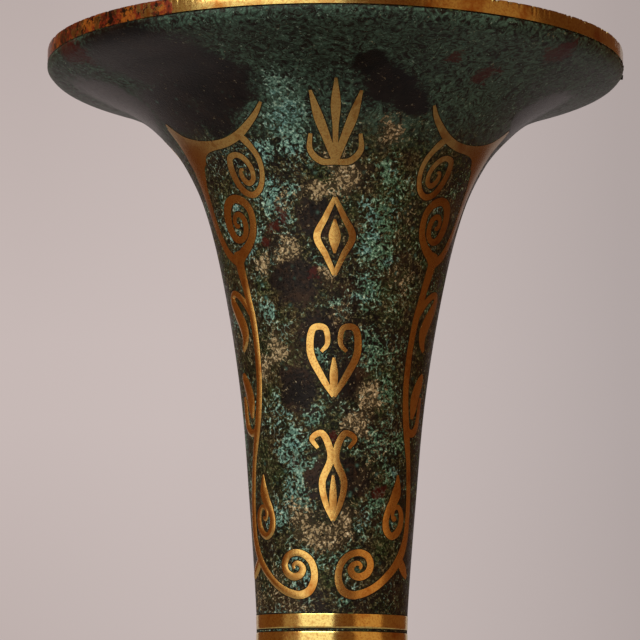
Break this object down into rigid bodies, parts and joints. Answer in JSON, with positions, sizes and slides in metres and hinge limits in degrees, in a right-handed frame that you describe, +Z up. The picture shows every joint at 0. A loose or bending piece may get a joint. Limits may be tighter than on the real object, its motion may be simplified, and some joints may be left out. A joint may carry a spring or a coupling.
{
  "type": "gu vase",
  "caption": "Tall trumpet-mouthed bronze gu vase with a waist and a flared hollow foot, inlaid with gold bands and scrollwork",
  "frame": {"origin": "centre of the foot's resting plane, on the vase's axis", "axes": "+Z up along the vase's axis, -Y towards the front with the middle column of ornament, +X to the front's right"},
  "size_m": [0.16, 0.16, 0.292],
  "materials": {
    "bronze": "cast bronze, near black with green and tan patina",
    "gold": "hammered gold inlay, worn"
  },
  "bodies": {
    "root": {"column_lozenge_back": "gold", "column_lozenge_front": "gold", "column_lozenge_heart_back": "gold", "column_lozenge_heart_front": "gold", "column_palmette_back": "gold", "column_palmette_front": "gold", "column_pendant_back": "gold", "column_pendant_front": "gold", "column_ruyi_back": "gold", "column_ruyi_front": "gold", "foot_band": "gold", "foot_scroll_back_left": "gold", "foot_scroll_back_right": "gold", "foot_scroll_front_left": "gold", "foot_scroll_front_right": "gold", "lip_band": "gold", "neck_band_lower": "gold", "neck_band_upper": "gold", "neck_crown_back_left": "gold", "neck_crown_back_right": "gold", "neck_crown_front_left": "gold", "neck_crown_front_right": "gold", "neck_long_scroll_back_left": "gold", "neck_long_scroll_back_right": "gold", "neck_long_scroll_front_left": "gold", "neck_long_scroll_front_right": "gold", "neck_lower_leaf_back_left": "gold", "neck_lower_leaf_back_right": "gold", "neck_lower_leaf_front_left": "gold", "neck_lower_leaf_front_right": "gold", "neck_teardrop_back_left": "gold", "neck_teardrop_back_right": "gold", "neck_teardrop_front_left": "gold", "neck_teardrop_front_right": "gold", "vessel": "bronze", "waist_band_lower": "gold", "waist_band_upper": "gold", "waist_scroll_back_left": "gold", "waist_scroll_back_right": "gold", "waist_scroll_front_left": "gold", "waist_scroll_front_right": "gold"}
  },
  "joints": []
}
